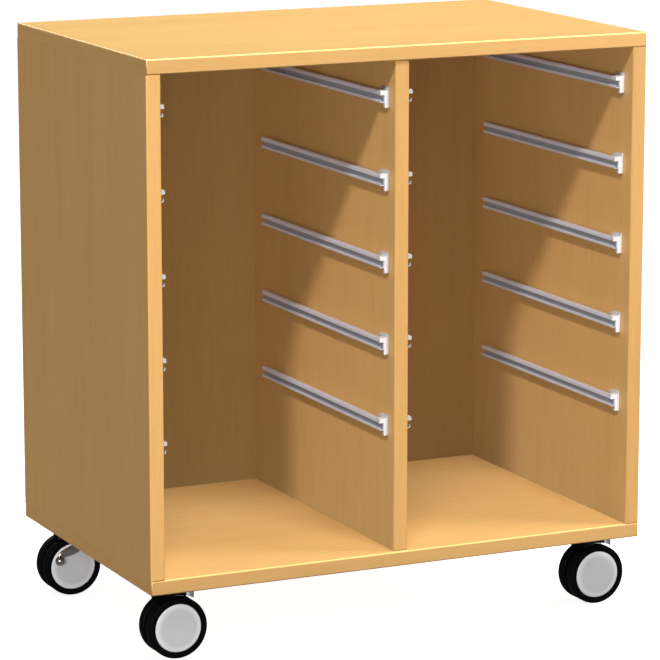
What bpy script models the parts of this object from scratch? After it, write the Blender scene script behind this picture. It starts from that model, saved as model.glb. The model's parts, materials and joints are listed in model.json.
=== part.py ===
"""Mobile tray cupboard: an open two-bay carcass on four twin-wheel swivel casters.

Metres, +Z up. The front faces -Y, and the origin lies on the floor under the middle of the carcass.
"""

import math

import bmesh
import bpy
from mathutils import Matrix, Vector

MM = 0.001
SEAT = 0.3 * MM  # gap between two pieces that touch

# Carcass boards
CARCASS_WIDTH = 700 * MM
CARCASS_DEPTH = 450 * MM
CARCASS_HEIGHT = 674 * MM
BOARD = 19 * MM
BACK_BOARD = 8 * MM
REBATE_LAP = 10 * MM  # how far the back reaches into each side board
PARTITION_SETBACK = 5 * MM
EDGE_RADIUS = 2 * MM

# Tray runners: a lipped channel carried off the wall by a rib
RUNNER_LEVELS = 5
LOWEST_RUNNER = 164 * MM  # floor of the bay to the middle of the lowest runner
HIGHEST_RUNNER = 48 * MM  # middle of the highest runner to the top board
RUNNER_REAR_GAP = 50 * MM
RIB_DEPTH = 6.5 * MM  # wall to the back of the channel
RIB_HEIGHT = 7 * MM
CHANNEL_DEPTH = 6 * MM
GROOVE_HEIGHT = 6 * MM  # between the lips
UPPER_LIP = 5 * MM
LOWER_LIP = 4 * MM
RUNNER_SKIN = 1.3 * MM

# Moulded stop at the front end of each runner
STOP_SETBACK = 22 * MM
STOP_LEAD = 1.5 * MM  # front of the stop ahead of the runner's end
STOP_FALL = 6.4 * MM  # below the runner
STOP_LEG = 7 * MM  # width of the leg beside the wall
STOP_DEPTH = 6 * MM  # front to back, over the end of the rib
STOP_FOOT_DEPTH = 4 * MM
STOP_FOOT_SLOPE = 4 * MM  # height over which the foot widens to the full depth
STOP_OVERHANG = 0.8 * MM  # arm past the face of the lips
STOP_ARM_DEPTH = 10 * MM
STOP_ARM_RISE = 0.6 * MM  # arm above the runner
STOP_ARM_EASE = 0.8 * MM
STOP_FIN = 2 * MM  # thickness of the fin against the wall
STOP_FIN_RISE = 5 * MM  # above the runner
STOP_FIN_LENGTH = 17 * MM
STOP_FIN_TAIL = 13 * MM  # length over which the fin runs out

# Twin-wheel casters
SIDE_INSET = 46 * MM  # swivel axis to the side of the carcass
END_INSET = 56 * MM  # swivel axis to the front or back of the carcass
TRAIL = 6 * MM  # axle behind the swivel axis
WHEEL_DIAMETER = 80 * MM
WHEEL_WIDTH = 14 * MM
WHEEL_GAP = 10 * MM  # between the two wheels of a pair
TYRE_RIM = 8.5 * MM  # tread to the cap
TREAD_SHOULDER = 3 * MM
CAP_SKIN = 2 * MM
CAP_CROWN = 1 * MM  # middle of the cap proud of the wheel's face
CAP_EDGE_DROP = 2 * MM  # edge of the dome below the wheel's face
CAP_SKIRT = 2.7 * MM
AXLE_DIAMETER = 8 * MM
AXLE_HEAD_LEDGE = 2.5 * MM
AXLE_HEAD_HEIGHT = 1.2 * MM
FORK_SIDE_PLAY = 1 * MM  # fork blade to each wheel
FORK_BOSS_DIAMETER = 26 * MM
TREAD_CLEARANCE = 3 * MM  # tread to the underside of the hood
HOOD_HEIGHT = 8 * MM  # over the top of the wheels
HOOD_SKIRT = 7 * MM  # how far its ends come down
HOOD_WIDTH = 32 * MM
HOOD_LEAD = 22 * MM  # swivel axis to the leading end of the hood
HOOD_TAIL = 28 * MM  # axle to the trailing end of the hood
HOOD_SKIN = 2.5 * MM
RACE_RIM = 6 * MM  # swivel race outside the kingpin's head
RACE_HEIGHT = 3 * MM
PLATE_SIZE = 60 * MM
PLATE_THICKNESS = 2.5 * MM
PLATE_CORNER = 6 * MM
SCREW_INSET = 7 * MM  # screw hole to the plate's edges
SCREW_HOLE = 5.5 * MM
KINGPIN_DIAMETER = 10 * MM
KINGPIN_HEAD_LEDGE = 3 * MM
KINGPIN_HEAD_HEIGHT = 2.5 * MM

# Brake lever on the rear casters
LEVER_PIN_DIAMETER = 5 * MM
LEVER_PIN_LEDGE = 1.7 * MM
LEVER_PIN_HEAD_HEIGHT = 1.5 * MM
LEVER_EYE_WALL = 2.7 * MM
LEVER_THICKNESS = 4 * MM
LEVER_CLEARANCE = 0.8 * MM  # cap or hood to the lever
LEVER_REACH = 33.4 * MM  # pivot to the knob, along the trail
LEVER_DROP = 35.7 * MM  # pivot to the knob, downwards
LEVER_ROOT_BEND = (-2 * MM, -32 * MM)  # pull on the blade's curve at the pivot
LEVER_TIP_BEND = (1 * MM, 17 * MM)  # pull on the blade's curve at the knob
LEVER_ROOT = 11 * MM
LEVER_BELLY = 17 * MM  # pull on the blade's width halfway along
LEVER_TIP = 4.5 * MM
KNOB_DIAMETER = 13 * MM
KNOB_FOOT_DIAMETER = 10.4 * MM
KNOB_WAIST = 4.3 * MM  # foot of the knob to its widest ring
KNOB_DOME = 6.2 * MM  # widest ring to the top of the knob

# Facets
WHEEL_SIDES = 24
KNOB_SIDES = 16
PIN_SIDES = 12
HOLE_SIDES = 8
ARC_STEPS = 8  # along the half round end of a slot
DOME_STEPS = 3
LEVER_STEPS = 9
SMOOTH_BELOW = math.radians(35)
MERGE_DISTANCE = 0.001 * MM
SAME_PLACE = 0.01 * MM

# Places worked out from the sizes above
RUNNER_HEIGHT = LOWER_LIP + GROOVE_HEIGHT + UPPER_LIP
RUNNER_PROUD = RIB_DEPTH + CHANNEL_DEPTH
CAP_DIAMETER = WHEEL_DIAMETER - 2 * TYRE_RIM
CAP_SEAT_DEPTH = CAP_EDGE_DROP + CAP_SKIRT + SEAT
AXLE_HEAD_DIAMETER = AXLE_DIAMETER + 2 * AXLE_HEAD_LEDGE
KINGPIN_HEAD_DIAMETER = KINGPIN_DIAMETER + 2 * KINGPIN_HEAD_LEDGE
RACE_DIAMETER = KINGPIN_HEAD_DIAMETER + 2 * RACE_RIM
AXLE_HEIGHT = WHEEL_DIAMETER / 2
HOOD_BOTTOM = WHEEL_DIAMETER + TREAD_CLEARANCE
HOOD_TOP = HOOD_BOTTOM + HOOD_HEIGHT
HOOD_ROOF = HOOD_TOP - HOOD_SKIN
KINGPIN_NECK = HOOD_ROOF - SEAT
KINGPIN_FOOT = KINGPIN_NECK - KINGPIN_HEAD_HEIGHT
RACE_BOTTOM = HOOD_TOP + SEAT
PLATE_BOTTOM = RACE_BOTTOM + RACE_HEIGHT
PLATE_TOP = PLATE_BOTTOM + PLATE_THICKNESS
CARCASS_BOTTOM = PLATE_TOP + SEAT
CARCASS_TOP = CARCASS_BOTTOM + CARCASS_HEIGHT
BAY_FLOOR = CARCASS_BOTTOM + BOARD
BAY_CEILING = CARCASS_TOP - BOARD
FRONT = -CARCASS_DEPTH / 2
REAR = CARCASS_DEPTH / 2
BACK_FACE = REAR - BACK_BOARD
WHEEL_FACE = WHEEL_GAP / 2 + WHEEL_WIDTH
CAP_BACK = WHEEL_FACE - CAP_SEAT_DEPTH + SEAT
LEVER_BACK = max(WHEEL_FACE + CAP_CROWN, HOOD_WIDTH / 2) + LEVER_CLEARANCE
LEVER_FRONT = LEVER_BACK + LEVER_THICKNESS
LEVER_PIVOT_X = HOOD_WIDTH / 2 - HOOD_LEAD  # where the hood's straight sides begin
LEVER_PIVOT_Z = HOOD_BOTTOM + HOOD_HEIGHT / 2


def clear_scene():
    for old in list(bpy.data.objects):
        bpy.data.objects.remove(old, do_unlink=True)


def material(name, colour, roughness, metallic=0.0):
    made = bpy.data.materials.new(name)
    made.use_nodes = True
    shader = made.node_tree.nodes["Principled BSDF"]
    shader.inputs["Base Color"].default_value = (*colour, 1.0)
    shader.inputs["Roughness"].default_value = roughness
    shader.inputs["Metallic"].default_value = metallic
    return made


def add_object(name, mesh, parent=None, location=(0, 0, 0), turn=0.0):
    """A named piece at a place, turned about Z."""
    made = bpy.data.objects.new(name, mesh)
    bpy.context.scene.collection.objects.link(made)
    made.parent = parent
    made.location = location
    made.rotation_euler = (0, 0, turn)
    return made


def smoothed(mesh):
    mesh.shade_smooth()
    mesh.set_sharp_from_angle(angle=SMOOTH_BELOW)
    return mesh


def finished(name, bm, finish):
    """The mesh of a closed shape, with its faces pointing out."""
    bmesh.ops.recalc_face_normals(bm, faces=bm.faces)
    mesh = bpy.data.meshes.new(name)
    bm.to_mesh(mesh)
    bm.free()
    mesh.materials.append(finish)
    return mesh


def prism(outline, along, start, end):
    """A flat outline extruded along an axis: (x, y) along z, (y, z) along x or (x, z) along y."""
    place = {
        "x": lambda a, b: (start, a, b),
        "y": lambda a, b: (a, start, b),
        "z": lambda a, b: (a, b, start),
    }[along]
    step = {"x": Vector((1, 0, 0)), "y": Vector((0, 1, 0)), "z": Vector((0, 0, 1))}[along]
    bm = bmesh.new()
    face = bm.faces.new([bm.verts.new(place(a, b)) for a, b in outline])
    grown = bmesh.ops.extrude_face_region(bm, geom=[face])
    far_end = [item for item in grown["geom"] if isinstance(item, bmesh.types.BMVert)]
    bmesh.ops.translate(bm, verts=far_end, vec=step * (end - start))
    return bm


def turned(profile, sides):
    """A profile of (radius, y) spun about Y, with a flat facet at the bottom."""
    half_step = math.pi / sides
    bm = bmesh.new()
    ring = [bm.verts.new((r * math.sin(half_step), y, -r * math.cos(half_step))) for r, y in profile]
    edges = [bm.edges.new(pair) for pair in zip(ring, ring[1:])]
    if profile[0][0] > 0:
        edges.append(bm.edges.new((ring[-1], ring[0])))
    bmesh.ops.spin(
        bm, geom=ring + edges, cent=(0, 0, 0), axis=(0, 1, 0), angle=2 * math.pi, steps=sides, use_merge=True
    )
    bmesh.ops.remove_doubles(bm, verts=bm.verts, dist=MERGE_DISTANCE)
    return bm


def cylinder(diameter, start, end, sides=PIN_SIDES):
    """A round bar along Z."""
    bm = bmesh.new()
    lift = Matrix.Translation((0, 0, (start + end) / 2))
    radius = diameter / 2
    bmesh.ops.create_cone(
        bm, cap_ends=True, segments=sides, radius1=radius, radius2=radius, depth=end - start, matrix=lift
    )
    return bm


def shifted(bm, x=0.0, y=0.0, z=0.0):
    bmesh.ops.translate(bm, verts=bm.verts, vec=(x, y, z))
    return bm


def tipped(bm, degrees):
    """The shape turned about the X axis."""
    turn = Matrix.Rotation(math.radians(degrees), 3, "X")
    bmesh.ops.rotate(bm, verts=bm.verts, cent=(0, 0, 0), matrix=turn)
    return bm


def pin_along_y(diameter, start, end, sides=PIN_SIDES):
    """A round bar along Y."""
    return tipped(cylinder(diameter, start, end, sides), -90)


def fused(name, bodies, cutters=()):
    """One mesh: the bodies joined, then the cutters taken away. Each entry is a shape and its finish."""
    made = []
    for shape, finish in [*bodies, *cutters]:
        made.append(add_object(f"{name}_shape", finished(f"{name}_shape", shape, finish)))
    base = made[0]
    for index, other in enumerate(made[1:], start=1):
        cut = base.modifiers.new(f"shape_{index}", "BOOLEAN")
        cut.operation = "UNION" if index < len(bodies) else "DIFFERENCE"
        cut.solver = "EXACT"
        cut.material_mode = "TRANSFER"
        cut.object = other
    evaluated = base.evaluated_get(bpy.context.evaluated_depsgraph_get())
    mesh = bpy.data.meshes.new_from_object(evaluated)
    mesh.name = name
    for used in made:
        bpy.data.objects.remove(used, do_unlink=True)
    return mesh


def arc(centre, radius, start, end, steps):
    """Points on an arc, angles in degrees."""
    turns = [math.radians(start + (end - start) * i / steps) for i in range(steps + 1)]
    return [(centre[0] + radius * math.cos(a), centre[1] + radius * math.sin(a)) for a in turns]


def at_level(axis, value):
    """A test for points that lie at one value of an axis."""
    return lambda co: abs(co[axis] - value) < SAME_PLACE


def edges_at(bm, *tests):
    """The edges whose two ends both pass one of the tests."""
    return [e for e in bm.edges if any(all(test(v.co) for v in e.verts) for test in tests)]


def eased(bm, *tests):
    """A board with the chosen edges rounded."""
    radius = min(EDGE_RADIUS, BOARD / 3)
    edges = edges_at(bm, *tests)
    bmesh.ops.bevel(bm, geom=edges, offset=radius, segments=2, profile=0.5, affect="EDGES")
    return bm


def rectangle(low, high):
    return [(low[0], low[1]), (high[0], low[1]), (high[0], high[1]), (low[0], high[1])]


def full_width_board(name, bottom, finish, top_eased):
    """The top or bottom board, which runs over the ends of the uprights."""
    outline = rectangle((FRONT, bottom), (REAR, bottom + BOARD))
    bm = prism(outline, "x", -CARCASS_WIDTH / 2, CARCASS_WIDTH / 2)
    tests = [at_level(1, FRONT)]
    if top_eased:
        tests.append(at_level(2, bottom + BOARD))
    add_object(name, finished(name, eased(bm, *tests), finish))


def side_board(name, side, finish):
    """An upright with a rebate for the back along its inner rear edge; side is -1 or 1."""
    outer = CARCASS_WIDTH / 2
    inner = outer - BOARD
    shoulder = BACK_FACE - SEAT
    outline = [
        (outer, FRONT), (outer, REAR), (inner + REBATE_LAP, REAR), (inner + REBATE_LAP, shoulder),
        (inner, shoulder), (inner, FRONT),
    ]
    bm = prism([(side * x, y) for x, y in outline], "z", BAY_FLOOR + SEAT, BAY_CEILING - SEAT)
    add_object(name, finished(name, eased(bm, at_level(1, FRONT)), finish))


def partition_board(name, finish):
    front = FRONT + PARTITION_SETBACK
    outline = rectangle((-BOARD / 2, front), (BOARD / 2, BACK_FACE - SEAT))
    bm = prism(outline, "z", BAY_FLOOR + SEAT, BAY_CEILING - SEAT)
    add_object(name, finished(name, eased(bm, at_level(1, front)), finish))


def back_board(name, finish):
    half = CARCASS_WIDTH / 2 - BOARD + REBATE_LAP - SEAT
    outline = rectangle((-half, BACK_FACE), (half, REAR))
    bm = prism(outline, "z", BAY_FLOOR + SEAT, BAY_CEILING - SEAT)
    add_object(name, finished(name, bm, finish))


def runner_outline():
    """The runner's section as (out from the wall, up): a lipped channel on a rib."""
    half = RUNNER_HEIGHT / 2
    rib = RIB_HEIGHT / 2
    web_face = RIB_DEPTH + RUNNER_SKIN
    lip_back = RUNNER_PROUD - RUNNER_SKIN
    return [
        (SEAT, -rib), (RIB_DEPTH, -rib), (RIB_DEPTH, -half), (RUNNER_PROUD, -half),
        (RUNNER_PROUD, LOWER_LIP - half), (lip_back, LOWER_LIP - half),
        (lip_back, RUNNER_SKIN - half), (web_face, RUNNER_SKIN - half),
        (web_face, half - RUNNER_SKIN), (lip_back, half - RUNNER_SKIN),
        (lip_back, half - UPPER_LIP), (RUNNER_PROUD, half - UPPER_LIP),
        (RUNNER_PROUD, half), (RIB_DEPTH, half), (RIB_DEPTH, rib), (SEAT, rib),
    ]


def stop_leg(facing):
    """The stop's leg, which closes the end of the rib and ends short of the groove."""
    bottom = -RUNNER_HEIGHT / 2 - STOP_FALL
    top = RUNNER_HEIGHT / 2 + STOP_ARM_RISE / 2
    outline = [
        (0, bottom), (STOP_FOOT_DEPTH, bottom), (STOP_DEPTH, bottom + STOP_FOOT_SLOPE), (STOP_DEPTH, top),
        (0, top),
    ]
    return prism(outline, "x", facing * SEAT, facing * STOP_LEG)


def stop_arm(facing):
    """The stop's arm, which crosses the end of the upper lip."""
    half = RUNNER_HEIGHT / 2
    tip = facing * (RUNNER_PROUD + STOP_OVERHANG)
    outline = rectangle((0, half - UPPER_LIP), (STOP_ARM_DEPTH, half + STOP_ARM_RISE))
    arm = prism(outline, "x", facing * 2 * SEAT, tip)
    bmesh.ops.bevel(
        arm, geom=edges_at(arm, at_level(0, tip)), offset=STOP_ARM_EASE, segments=1, affect="EDGES"
    )
    return arm


def stop_fin(facing):
    """The stop's fin, which stands above the arm against the wall and runs out towards the back."""
    half = RUNNER_HEIGHT / 2
    low = half - UPPER_LIP / 2
    top = half + STOP_FIN_RISE
    outline = [
        (0, low), (STOP_DEPTH, low), (STOP_FIN_LENGTH + STOP_FIN_TAIL, half), (STOP_FIN_LENGTH, top),
        (0, top),
    ]
    return prism(outline, "x", facing * SEAT, facing * STOP_FIN)


def runner_mesh(name, facing, metal, plastic):
    """A runner with its moulded end stop, out from a wall at x = 0; facing is -1 or 1."""
    length = BACK_FACE - RUNNER_REAR_GAP - FRONT - STOP_SETBACK
    channel = prism([(facing * u, v) for u, v in runner_outline()], "y", STOP_LEAD, length)
    stop = [(shape(facing), plastic) for shape in (stop_leg, stop_arm, stop_fin)]
    return fused(name, [(channel, metal), *stop])


def add_runners(metal, plastic):
    """Runners on each of the four inner walls, level 1 at the bottom."""
    right_hand = runner_mesh("runner_facing_right", 1, metal, plastic)
    left_hand = runner_mesh("runner_facing_left", -1, metal, plastic)
    inner = CARCASS_WIDTH / 2 - BOARD
    walls = {
        "left_bay_left": (-inner, right_hand),
        "left_bay_right": (-BOARD / 2, left_hand),
        "right_bay_left": (BOARD / 2, right_hand),
        "right_bay_right": (inner, left_hand),
    }
    lowest = BAY_FLOOR + LOWEST_RUNNER
    pitch = (BAY_CEILING - HIGHEST_RUNNER - lowest) / (RUNNER_LEVELS - 1)
    for wall, (x, mesh) in walls.items():
        for level in range(RUNNER_LEVELS):
            place = (x, FRONT + STOP_SETBACK, lowest + level * pitch)
            add_object(f"{wall}_runner_{level + 1}", mesh, location=place)


def plate_mesh(metal):
    """The mounting plate with the swivel race under it and a sunk seat for the kingpin's head."""
    half = PLATE_SIZE / 2
    middle = (PLATE_BOTTOM + PLATE_TOP) / 2
    below = RACE_BOTTOM - PLATE_THICKNESS
    above = PLATE_TOP + PLATE_THICKNESS
    plate = prism(rectangle((-half, -half), (half, half)), "z", PLATE_BOTTOM, PLATE_TOP)
    corners = [e for e in plate.edges if abs(e.verts[0].co.z - e.verts[1].co.z) > SAME_PLACE]
    bmesh.ops.bevel(plate, geom=corners, offset=PLATE_CORNER, segments=3, profile=0.5, affect="EDGES")
    race = cylinder(RACE_DIAMETER, RACE_BOTTOM, middle, WHEEL_SIDES)
    bore = cylinder(KINGPIN_DIAMETER + 2 * SEAT, below, above)
    seat = cylinder(KINGPIN_HEAD_DIAMETER + 2 * SEAT, PLATE_BOTTOM, above)
    cutters = [(bore, metal), (seat, metal)]
    hole = half - SCREW_INSET
    for x in (-hole, hole):
        for y in (-hole, hole):
            cutters.append((shifted(cylinder(SCREW_HOLE, below, above, HOLE_SIDES), x, y), metal))
    return fused("caster_plate", [(plate, metal), (race, metal)], cutters)


def kingpin_mesh(metal):
    """A rivet whose upper head lies in the plate and whose lower head holds the hood."""
    radius = KINGPIN_DIAMETER / 2
    head = KINGPIN_HEAD_DIAMETER / 2
    ledge = PLATE_BOTTOM + SEAT
    profile = [
        (0, PLATE_TOP), (head, PLATE_TOP), (head, ledge), (radius, ledge), (radius, KINGPIN_NECK),
        (head, KINGPIN_NECK), (head, KINGPIN_FOOT), (0, KINGPIN_FOOT),
    ]
    return smoothed(finished("caster_kingpin", tipped(turned(profile, PIN_SIDES), 90), metal))


def slot_outline(start, end, width):
    """A round-ended slot along X."""
    radius = width / 2
    nose = arc((end - radius, 0), radius, -90, 90, ARC_STEPS)
    tail = arc((start + radius, 0), radius, 90, 270, ARC_STEPS)
    return nose + tail


def hood_shape(metal):
    """The hollow hood, open underneath and cut away round the wheels, with ends that come down lower."""
    tail = TRAIL + HOOD_TAIL
    skirt = HOOD_BOTTOM - HOOD_SKIRT
    outside = slot_outline(-HOOD_LEAD, tail, HOOD_WIDTH)
    inside = slot_outline(HOOD_SKIN - HOOD_LEAD, tail - HOOD_SKIN, HOOD_WIDTH - 2 * HOOD_SKIN)
    hood = prism(outside, "z", skirt, HOOD_TOP)
    cavity = prism(inside, "z", skirt - HOOD_SKIN, HOOD_ROOF)
    room = pin_along_y(2 * (HOOD_BOTTOM - AXLE_HEIGHT), -HOOD_WIDTH, HOOD_WIDTH, WHEEL_SIDES)
    cutters = [(cavity, metal), (shifted(room, TRAIL, 0, AXLE_HEIGHT), metal)]
    shape = bmesh.new()
    shape.from_mesh(fused("caster_hood", [(hood, metal)], cutters))
    return shape


def fork_blade():
    """The blade between the wheels, from the hood's roof down round the axle."""
    half = WHEEL_GAP / 2 - FORK_SIDE_PLAY
    top = HOOD_ROOF + HOOD_SKIN / 2
    lead = HOOD_WIDTH / 2 - HOOD_LEAD - HOOD_SKIN
    tail = TRAIL + HOOD_TAIL - HOOD_WIDTH / 2 + HOOD_SKIN
    boss = arc((TRAIL, AXLE_HEIGHT), FORK_BOSS_DIAMETER / 2, 180, 360, PIN_SIDES)
    return prism(boss + [(tail, top), (lead, top)], "y", -half, half)


def brake_pin_shapes():
    """The lever's pin, standing out of the hood's side, and the head that keeps the lever on."""
    root = HOOD_WIDTH / 2 - HOOD_SKIN + SEAT
    head_start = LEVER_FRONT + SEAT
    head_end = head_start + LEVER_PIN_HEAD_HEIGHT
    pin = pin_along_y(LEVER_PIN_DIAMETER, root, (head_start + head_end) / 2)
    head = pin_along_y(LEVER_PIN_DIAMETER + 2 * LEVER_PIN_LEDGE, head_start, head_end)
    return [shifted(shape, LEVER_PIVOT_X, 0, LEVER_PIVOT_Z) for shape in (pin, head)]


def housing_mesh(name, metal, braked):
    """The fork blade under its hood, turning about the Z axis."""
    bodies = [(hood_shape(metal), metal), (fork_blade(), metal)]
    if braked:
        bodies += [(shape, metal) for shape in brake_pin_shapes()]
    pocket_diameter = KINGPIN_HEAD_DIAMETER + 2 * FORK_SIDE_PLAY
    pocket = cylinder(pocket_diameter, KINGPIN_FOOT - FORK_SIDE_PLAY, HOOD_ROOF, WHEEL_SIDES)
    bore = cylinder(KINGPIN_DIAMETER + 2 * SEAT, HOOD_ROOF - HOOD_SKIN, HOOD_TOP + HOOD_SKIN)
    axle_hole = pin_along_y(AXLE_DIAMETER + 2 * SEAT, -WHEEL_GAP, WHEEL_GAP)
    cutters = [(pocket, metal), (bore, metal), (shifted(axle_hole, TRAIL, 0, AXLE_HEIGHT), metal)]
    return smoothed(fused(name, bodies, cutters))


def axle_mesh(metal):
    """A rivet through the fork blade and both wheels, about the Y axis."""
    radius = AXLE_DIAMETER / 2
    head = AXLE_HEAD_DIAMETER / 2
    outer = CAP_BACK + AXLE_HEAD_HEIGHT
    half = [(radius, CAP_BACK), (head, CAP_BACK), (head, outer), (0, outer)]
    profile = [(r, -y) for r, y in reversed(half)] + half
    return smoothed(finished("caster_axle", turned(profile, PIN_SIDES), metal))


def wheel_mesh(rubber):
    """One wheel about the Y axis, on the +Y side, with a round seat for its cap."""
    tread = WHEEL_DIAMETER / 2 / math.cos(math.pi / WHEEL_SIDES)
    side = tread - TREAD_SHOULDER
    bore = AXLE_DIAMETER / 2 + SEAT
    seat = CAP_DIAMETER / 2 + SEAT
    inner = WHEEL_GAP / 2
    floor = WHEEL_FACE - CAP_SEAT_DEPTH
    profile = [
        (bore, inner), (bore, floor), (seat, floor), (seat, WHEEL_FACE), (side, WHEEL_FACE),
        (tread, WHEEL_FACE - TREAD_SHOULDER), (tread, inner + TREAD_SHOULDER), (side, inner),
    ]
    return smoothed(finished("caster_wheel", turned(profile, WHEEL_SIDES), rubber))


def cap_mesh(plastic):
    """The domed cap that hides the axle's head, a thin shell about the Y axis."""
    radius = CAP_DIAMETER / 2
    crown = WHEEL_FACE + CAP_CROWN
    edge = WHEEL_FACE - CAP_EDGE_DROP
    hollow = radius - CAP_SKIN
    dome = []
    for step in range(DOME_STEPS + 1):
        turn = math.radians(90 * step / DOME_STEPS)
        dome.append((radius * math.sin(turn), edge + (crown - edge) * math.sqrt(math.cos(turn))))
    skirt = [(radius, CAP_BACK), (hollow, CAP_BACK), (hollow, edge - CAP_SKIN / 2), (0, crown - CAP_SKIN)]
    return smoothed(finished("caster_cap", turned(dome + skirt, WHEEL_SIDES), plastic))


def lever_blade():
    """The lever's bent blade about its pivot: a strip along a curve from pin to knob, widest halfway."""
    root = Vector((0, 0))
    tip = Vector((LEVER_REACH, -LEVER_DROP))
    root_pull = root + Vector(LEVER_ROOT_BEND)
    tip_pull = tip + Vector(LEVER_TIP_BEND)
    left = []
    right = []
    for step in range(LEVER_STEPS + 1):
        t = step / LEVER_STEPS
        s = 1 - t
        at = root * s**3 + root_pull * 3 * s * s * t + tip_pull * 3 * s * t * t + tip * t**3
        ahead = (root_pull - root) * s * s + (tip_pull - root_pull) * 2 * s * t + (tip - tip_pull) * t * t
        width = LEVER_ROOT * s * s + LEVER_BELLY * 2 * s * t + LEVER_TIP * t * t
        across = Vector((-ahead.y, ahead.x)).normalized() * width / 2
        left.append(tuple(at + across))
        right.append(tuple(at - across))
    return prism(left + right[::-1], "y", LEVER_BACK, LEVER_FRONT)


def lever_knob():
    """The round knob on the lever's end, in the lever's place."""
    radius = KNOB_DIAMETER / 2
    waist = LEVER_BACK + KNOB_WAIST
    dome = arc((0, 0), 1, 0, 90, DOME_STEPS)
    profile = [(0, LEVER_BACK), (KNOB_FOOT_DIAMETER / 2, LEVER_BACK)]
    profile += [(radius * across, waist + KNOB_DOME * up) for across, up in dome[:-1]]
    profile.append((0, waist + KNOB_DOME))
    return shifted(turned(profile, KNOB_SIDES), LEVER_REACH, 0, -LEVER_DROP)


def lever_mesh(metal):
    """The brake lever about its pivot: the blade with an eye round the pin and a knob to press."""
    hole = LEVER_PIN_DIAMETER + 2 * SEAT
    eye = pin_along_y(hole + 2 * LEVER_EYE_WALL, LEVER_BACK, LEVER_FRONT, KNOB_SIDES)
    bore = pin_along_y(hole, LEVER_BACK - SEAT, LEVER_FRONT + SEAT)
    bodies = [(lever_blade(), metal), (eye, metal), (lever_knob(), metal)]
    return smoothed(fused("brake_lever", bodies, [(bore, metal)]))


def add_casters(steel, rubber, plastic, chrome):
    """Four casters. The front pair trails to the right and the braked rear pair to the left."""
    plate = plate_mesh(steel)
    kingpin = kingpin_mesh(steel)
    plain_housing = housing_mesh("caster_housing", steel, braked=False)
    brake_housing = housing_mesh("caster_brake_housing", steel, braked=True)
    axle = axle_mesh(steel)
    wheel = wheel_mesh(rubber)
    cap = cap_mesh(plastic)
    lever = lever_mesh(chrome)
    x = CARCASS_WIDTH / 2 - SIDE_INSET
    y = CARCASS_DEPTH / 2 - END_INSET
    places = {"front_left": (-x, -y), "front_right": (x, -y), "rear_left": (-x, y), "rear_right": (x, y)}
    for corner, (corner_x, corner_y) in places.items():
        braked = corner_y > 0
        heading = math.pi if braked else 0.0
        stem = f"{corner}_caster"
        foot = (corner_x, corner_y, 0)
        add_object(f"{stem}_plate", plate, location=foot)
        add_object(f"{stem}_kingpin", kingpin, location=foot)
        swivel = add_object(f"{stem}_swivel_axis", None, location=foot, turn=heading)
        add_object(f"{stem}_housing", brake_housing if braked else plain_housing, swivel)
        centre = (TRAIL, 0, AXLE_HEIGHT)
        add_object(f"{stem}_axle", axle, swivel, centre)
        for end, facing in (("front", math.pi), ("rear", 0.0)):
            add_object(f"{stem}_{end}_wheel", wheel, swivel, centre, facing - heading)
            add_object(f"{stem}_{end}_cap", cap, swivel, centre, facing - heading)
        if braked:
            add_object(f"{stem}_brake_lever", lever, swivel, (LEVER_PIVOT_X, 0, LEVER_PIVOT_Z))


def main():
    clear_scene()
    beech = material("beech_board", (0.70, 0.44, 0.18), 0.45)
    aluminium = material("aluminium", (0.62, 0.61, 0.64), 0.35, 1.0)
    white = material("white_plastic", (0.90, 0.90, 0.90), 0.45)
    steel = material("zinc_steel", (0.55, 0.57, 0.60), 0.35, 1.0)
    black = material("black_wheel", (0.012, 0.012, 0.015), 0.5)
    grey = material("grey_cap", (0.55, 0.55, 0.56), 0.4)
    chrome = material("chrome", (0.80, 0.80, 0.82), 0.1, 1.0)

    full_width_board("top_board", BAY_CEILING, beech, top_eased=True)
    full_width_board("bottom_board", CARCASS_BOTTOM, beech, top_eased=False)
    side_board("left_side", -1, beech)
    side_board("right_side", 1, beech)
    partition_board("partition", beech)
    back_board("back_board", beech)
    add_runners(aluminium, white)
    add_casters(steel, black, grey, chrome)


main()
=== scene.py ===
"""Looks of the mobile tray cupboard: beech-faced boards, aluminium tray runners, twin-wheel casters.

Metres, +Z up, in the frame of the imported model. The front faces -Y.
"""

import json
import math

import bmesh
import bpy
from mathutils import Matrix, Vector

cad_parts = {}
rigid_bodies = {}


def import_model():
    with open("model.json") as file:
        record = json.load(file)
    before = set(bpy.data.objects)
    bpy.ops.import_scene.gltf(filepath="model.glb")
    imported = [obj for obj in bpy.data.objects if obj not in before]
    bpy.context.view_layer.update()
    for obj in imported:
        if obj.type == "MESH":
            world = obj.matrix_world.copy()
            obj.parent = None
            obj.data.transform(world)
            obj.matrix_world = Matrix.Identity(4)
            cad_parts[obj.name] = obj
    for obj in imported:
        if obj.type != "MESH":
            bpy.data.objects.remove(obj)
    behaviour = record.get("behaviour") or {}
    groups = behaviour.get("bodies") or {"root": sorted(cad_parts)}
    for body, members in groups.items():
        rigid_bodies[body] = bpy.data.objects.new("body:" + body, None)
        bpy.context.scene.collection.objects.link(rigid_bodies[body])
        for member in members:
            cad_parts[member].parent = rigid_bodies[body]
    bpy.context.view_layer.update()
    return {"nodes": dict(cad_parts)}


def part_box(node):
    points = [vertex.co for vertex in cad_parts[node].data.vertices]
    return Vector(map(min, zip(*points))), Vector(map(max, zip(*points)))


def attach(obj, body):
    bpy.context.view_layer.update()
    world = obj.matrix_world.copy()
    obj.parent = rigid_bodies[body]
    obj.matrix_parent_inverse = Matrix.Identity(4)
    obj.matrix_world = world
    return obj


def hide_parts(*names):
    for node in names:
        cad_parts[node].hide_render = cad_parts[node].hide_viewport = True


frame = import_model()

MM = 0.001
X, Y, Z = range(3)
SEAT = 0.3 * MM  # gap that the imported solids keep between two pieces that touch
CARCASS = "carcass"

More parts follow.
